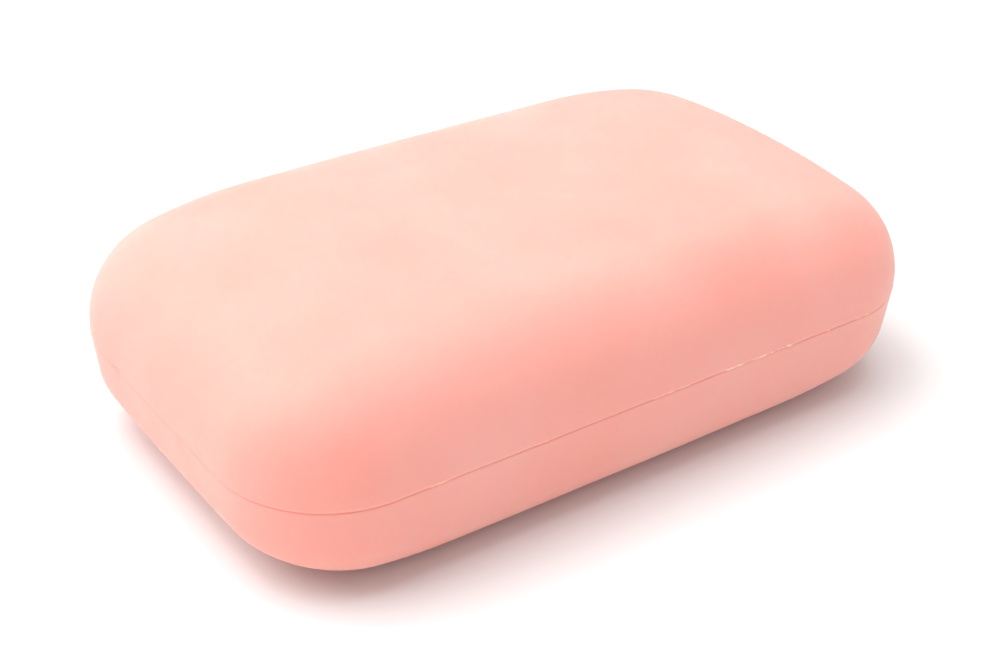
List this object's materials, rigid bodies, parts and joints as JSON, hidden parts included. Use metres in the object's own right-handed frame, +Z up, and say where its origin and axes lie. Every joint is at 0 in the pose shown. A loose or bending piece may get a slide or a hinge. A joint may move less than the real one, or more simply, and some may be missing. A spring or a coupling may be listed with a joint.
{
  "type": "bar of soap",
  "caption": "Pillow-shaped bar of toilet soap with a crowned top, soft shoulders and a parting line round its girth.",
  "frame": {"origin": "middle of the flat on the underside that the bar rests on", "axes": "+X along the length, +Y across the width, +Z up through the crowned top"},
  "size_m": [0.086, 0.0518, 0.0255],
  "materials": {
    "soap": "coral pink milled soap, satin, slightly translucent, faintly mottled"
  },
  "bodies": {
    "root": {"soap_bar": "soap"}
  },
  "joints": []
}
